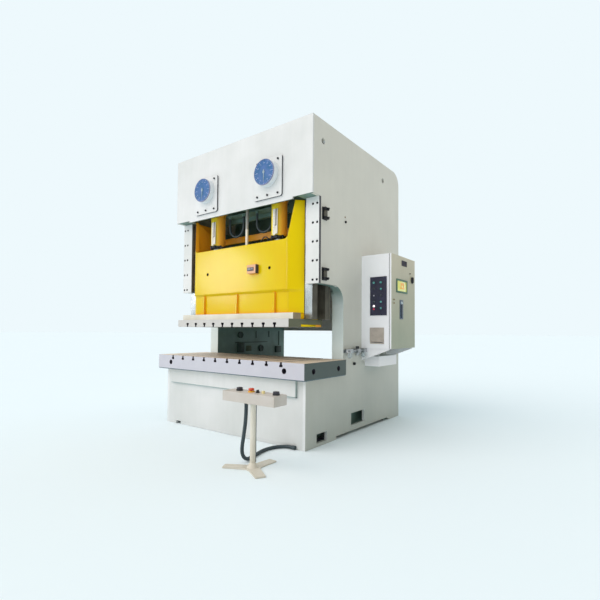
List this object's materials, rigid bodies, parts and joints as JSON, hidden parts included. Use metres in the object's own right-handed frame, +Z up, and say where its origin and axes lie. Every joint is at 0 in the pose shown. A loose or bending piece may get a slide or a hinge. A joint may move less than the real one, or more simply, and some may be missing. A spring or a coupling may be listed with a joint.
{
  "type": "mechanical stamping press",
  "caption": "C-frame mechanical press: crank-driven slide over a T-slotted bolster, with a control cabinet on its side and a two-hand control stand on a hose.",
  "frame": {"origin": "on the floor, at the centre of the four anchor holes in the feet", "axes": "+X to the press's right side with the control cabinet, +Y from the front (operator) to the flywheel at the rear, +Z up"},
  "size_m": [3.1158, 4.2169, 3.95],
  "materials": {
    "frame_light": "satin paint",
    "frame_dark": "dark paint",
    "bolster_steel": "milled",
    "slide_yellow": "gloss paint",
    "slide_cream": "satin paint",
    "ground_steel": "ground",
    "gear_steel": "oiled",
    "iron": "painted casting",
    "liner_bronze": "bronze",
    "black_steel": "blackened",
    "dial_blue": "printed dial",
    "hose_black": "matt",
    "cabinet_paint": "satin paint",
    "dark_fittings": "satin",
    "lamp_lens": "lens",
    "air_metal": "cast",
    "bowl_plastic": "clear",
    "collar_yellow": "gloss",
    "button_red": "gloss"
  },
  "bodies": {
    "frame": {"side_plates": "frame_light", "column_boxes": "frame_dark", "crown_front_plate": "frame_light", "crown_shell": "frame_light", "crown_bulkheads": "frame_dark", "base_front_plate": "frame_light", "bed_structure": "frame_dark", "bolster": "bolster_steel", "front_gib_plates": "frame_light", "gib_liners": "liner_bronze", "gib_blocks": "ground_steel", "gib_adjusters": "black_steel", "frame_bolts": "black_steel", "bearing_covers": "frame_light", "dial_housings": "dial_blue", "balance_cylinder": "frame_dark", "oil_hoses": "hose_black", "motor": "iron", "drive_belts": "hose_black", "cabinet_body": "cabinet_paint", "cabinet_panels": "dark_fittings", "indicator_lamps": "lamp_lens", "cabinet_brackets": "frame_dark", "air_unit": "air_metal", "air_bowls": "bowl_plastic", "pedestal_stand": "cabinet_paint", "control_box": "cabinet_paint", "control_collars": "collar_yellow", "pedestal_hose": "hose_black"},
    "connection": {"connecting_rods": "ground_steel", "rod_clamps": "black_steel", "rod_scales": "slide_cream"},
    "slide": {"slide_body": "slide_yellow", "slide_front_bar": "slide_cream", "slide_plate": "bolster_steel", "guide_rails": "ground_steel", "ball_seats": "ground_steel", "slide_fittings": "slide_yellow", "balance_rod": "ground_steel"},
    "screw_right": {"adjust_screw_right": "ground_steel"},
    "screw_left": {"adjust_screw_left": "ground_steel"},
    "crank_right": {"crankshaft_right": "ground_steel", "main_gear_right": "gear_steel"},
    "crank_left": {"crankshaft_left": "ground_steel", "main_gear_left": "gear_steel"},
    "pinion_right": {"pinion_shaft_right": "gear_steel"},
    "pinion_left": {"pinion_shaft_left": "gear_steel"},
    "clutch": {"clutch_shaft": "gear_steel"},
    "flywheel": {"flywheel": "iron"},
    "motor_rotor": {"motor_pulley": "iron"},
    "door": {"cabinet_door": "cabinet_paint", "door_fittings": "dark_fittings"},
    "main_switch": {"main_switch": "dark_fittings"},
    "start_button": {"panel_button_start": "lamp_lens"},
    "stop_button": {"panel_button_stop": "lamp_lens"},
    "regulator": {"regulator_knob": "dark_fittings"},
    "palm_left": {"palm_button_left": "dark_fittings"},
    "palm_right": {"palm_button_right": "dark_fittings"},
    "estop": {"estop_button": "button_red"},
    "selector": {"selector_switch": "dark_fittings"}
  },
  "joints": [
    {"name": "ram_slide", "type": "slide", "parent": "frame", "child": "connection", "axis": [0, 0, 1], "range_m": [0, 0.28]},
    {"name": "die_height", "type": "slide", "parent": "connection", "child": "slide", "axis": [0, 0, 1], "range_m": [0, 0.12]},
    {"name": "screw_turn_right", "type": "hinge", "parent": "slide", "child": "screw_right", "pos_m": [0.591, -0.945, 2.25], "axis": [0, 0, 1], "range_deg": [0, 3601]},
    {"name": "screw_turn_left", "type": "hinge", "parent": "slide", "child": "screw_left", "pos_m": [-0.591, -0.945, 2.25], "axis": [0, 0, 1], "range_deg": [0, 3601]},
    {"name": "crank_turn_right", "type": "hinge", "parent": "frame", "child": "crank_right", "pos_m": [0.591, -0.945, 3.365], "axis": [0, 1, 0], "range_deg": [0, 180.1]},
    {"name": "crank_turn_left", "type": "hinge", "parent": "frame", "child": "crank_left", "pos_m": [-0.591, -0.945, 3.365], "axis": [0, 1, 0], "range_deg": [-180.1, 0]},
    {"name": "pinion_turn_right", "type": "hinge", "parent": "frame", "child": "pinion_right", "pos_m": [0.098, 0, 3.56494], "axis": [0, 1, 0], "range_deg": [-798, 0]},
    {"name": "pinion_turn_left", "type": "hinge", "parent": "frame", "child": "pinion_left", "pos_m": [-0.098, 0, 3.56494], "axis": [0, 1, 0], "range_deg": [0, 798]},
    {"name": "clutch_turn", "type": "hinge", "parent": "frame", "child": "clutch", "pos_m": [0, 0.5, 3.22894], "axis": [0, 1, 0], "range_deg": [0, 2526]},
    {"name": "flywheel_turn", "type": "hinge", "parent": "frame", "child": "flywheel", "pos_m": [0, 1.4, 3.22894], "axis": [0, 1, 0], "continuous": true},
    {"name": "motor_turn", "type": "hinge", "parent": "frame", "child": "motor_rotor", "pos_m": [0, 1.4, 2.37894], "axis": [0, 1, 0], "continuous": true},
    {"name": "cabinet_door_hinge", "type": "hinge", "parent": "frame", "child": "door", "pos_m": [1.72, 0.859, 1.8], "axis": [0, 0, 1], "range_deg": [0, 115]},
    {"name": "main_switch_turn", "type": "hinge", "parent": "door", "child": "main_switch", "pos_m": [1.74, 0.729, 2.118], "axis": [1, 0, 0], "range_deg": [0, 90]},
    {"name": "start_press", "type": "slide", "parent": "frame", "child": "start_button", "axis": [0, 1, 0], "range_m": [0, 0.004], "stiffness_N_per_m": 500, "springref_m": -0.002},
    {"name": "stop_press", "type": "slide", "parent": "frame", "child": "stop_button", "axis": [0, 1, 0], "range_m": [0, 0.004], "stiffness_N_per_m": 500, "springref_m": -0.002},
    {"name": "regulator_turn", "type": "hinge", "parent": "frame", "child": "regulator", "pos_m": [1.345, -0.195, 1.14], "axis": [0, 0, 1], "range_deg": [0, 720]},
    {"name": "palm_left_press", "type": "slide", "parent": "frame", "child": "palm_left", "axis": [0, 0, -1], "range_m": [0, 0.005], "stiffness_N_per_m": 900, "springref_m": -0.004},
    {"name": "palm_right_press", "type": "slide", "parent": "frame", "child": "palm_right", "axis": [0, 0, -1], "range_m": [0, 0.005], "stiffness_N_per_m": 900, "springref_m": -0.004},
    {"name": "estop_press", "type": "slide", "parent": "frame", "child": "estop", "axis": [0, 0, -1], "range_m": [0, 0.006], "stiffness_N_per_m": 900, "springref_m": -0.004},
    {"name": "selector_turn", "type": "hinge", "parent": "frame", "child": "selector", "pos_m": [1.262, -2.051, 0.76], "axis": [0, 0, 1], "range_deg": [-45, 45]}
  ],
  "couplings": [
    {"joint": "crank_turn_right", "follows": "ram_slide", "rad_per_m": 11.22},
    {"joint": "crank_turn_left", "follows": "ram_slide", "rad_per_m": -11.22},
    {"joint": "pinion_turn_right", "follows": "ram_slide", "rad_per_m": -49.688},
    {"joint": "pinion_turn_left", "follows": "ram_slide", "rad_per_m": 49.688},
    {"joint": "clutch_turn", "follows": "ram_slide", "rad_per_m": 157.35},
    {"joint": "screw_turn_right", "follows": "die_height", "rad_per_m": 523.6},
    {"joint": "screw_turn_left", "follows": "die_height", "rad_per_m": 523.6},
    {"joint": "motor_turn", "follows": "flywheel_turn", "ratio": 3.1852}
  ]
}
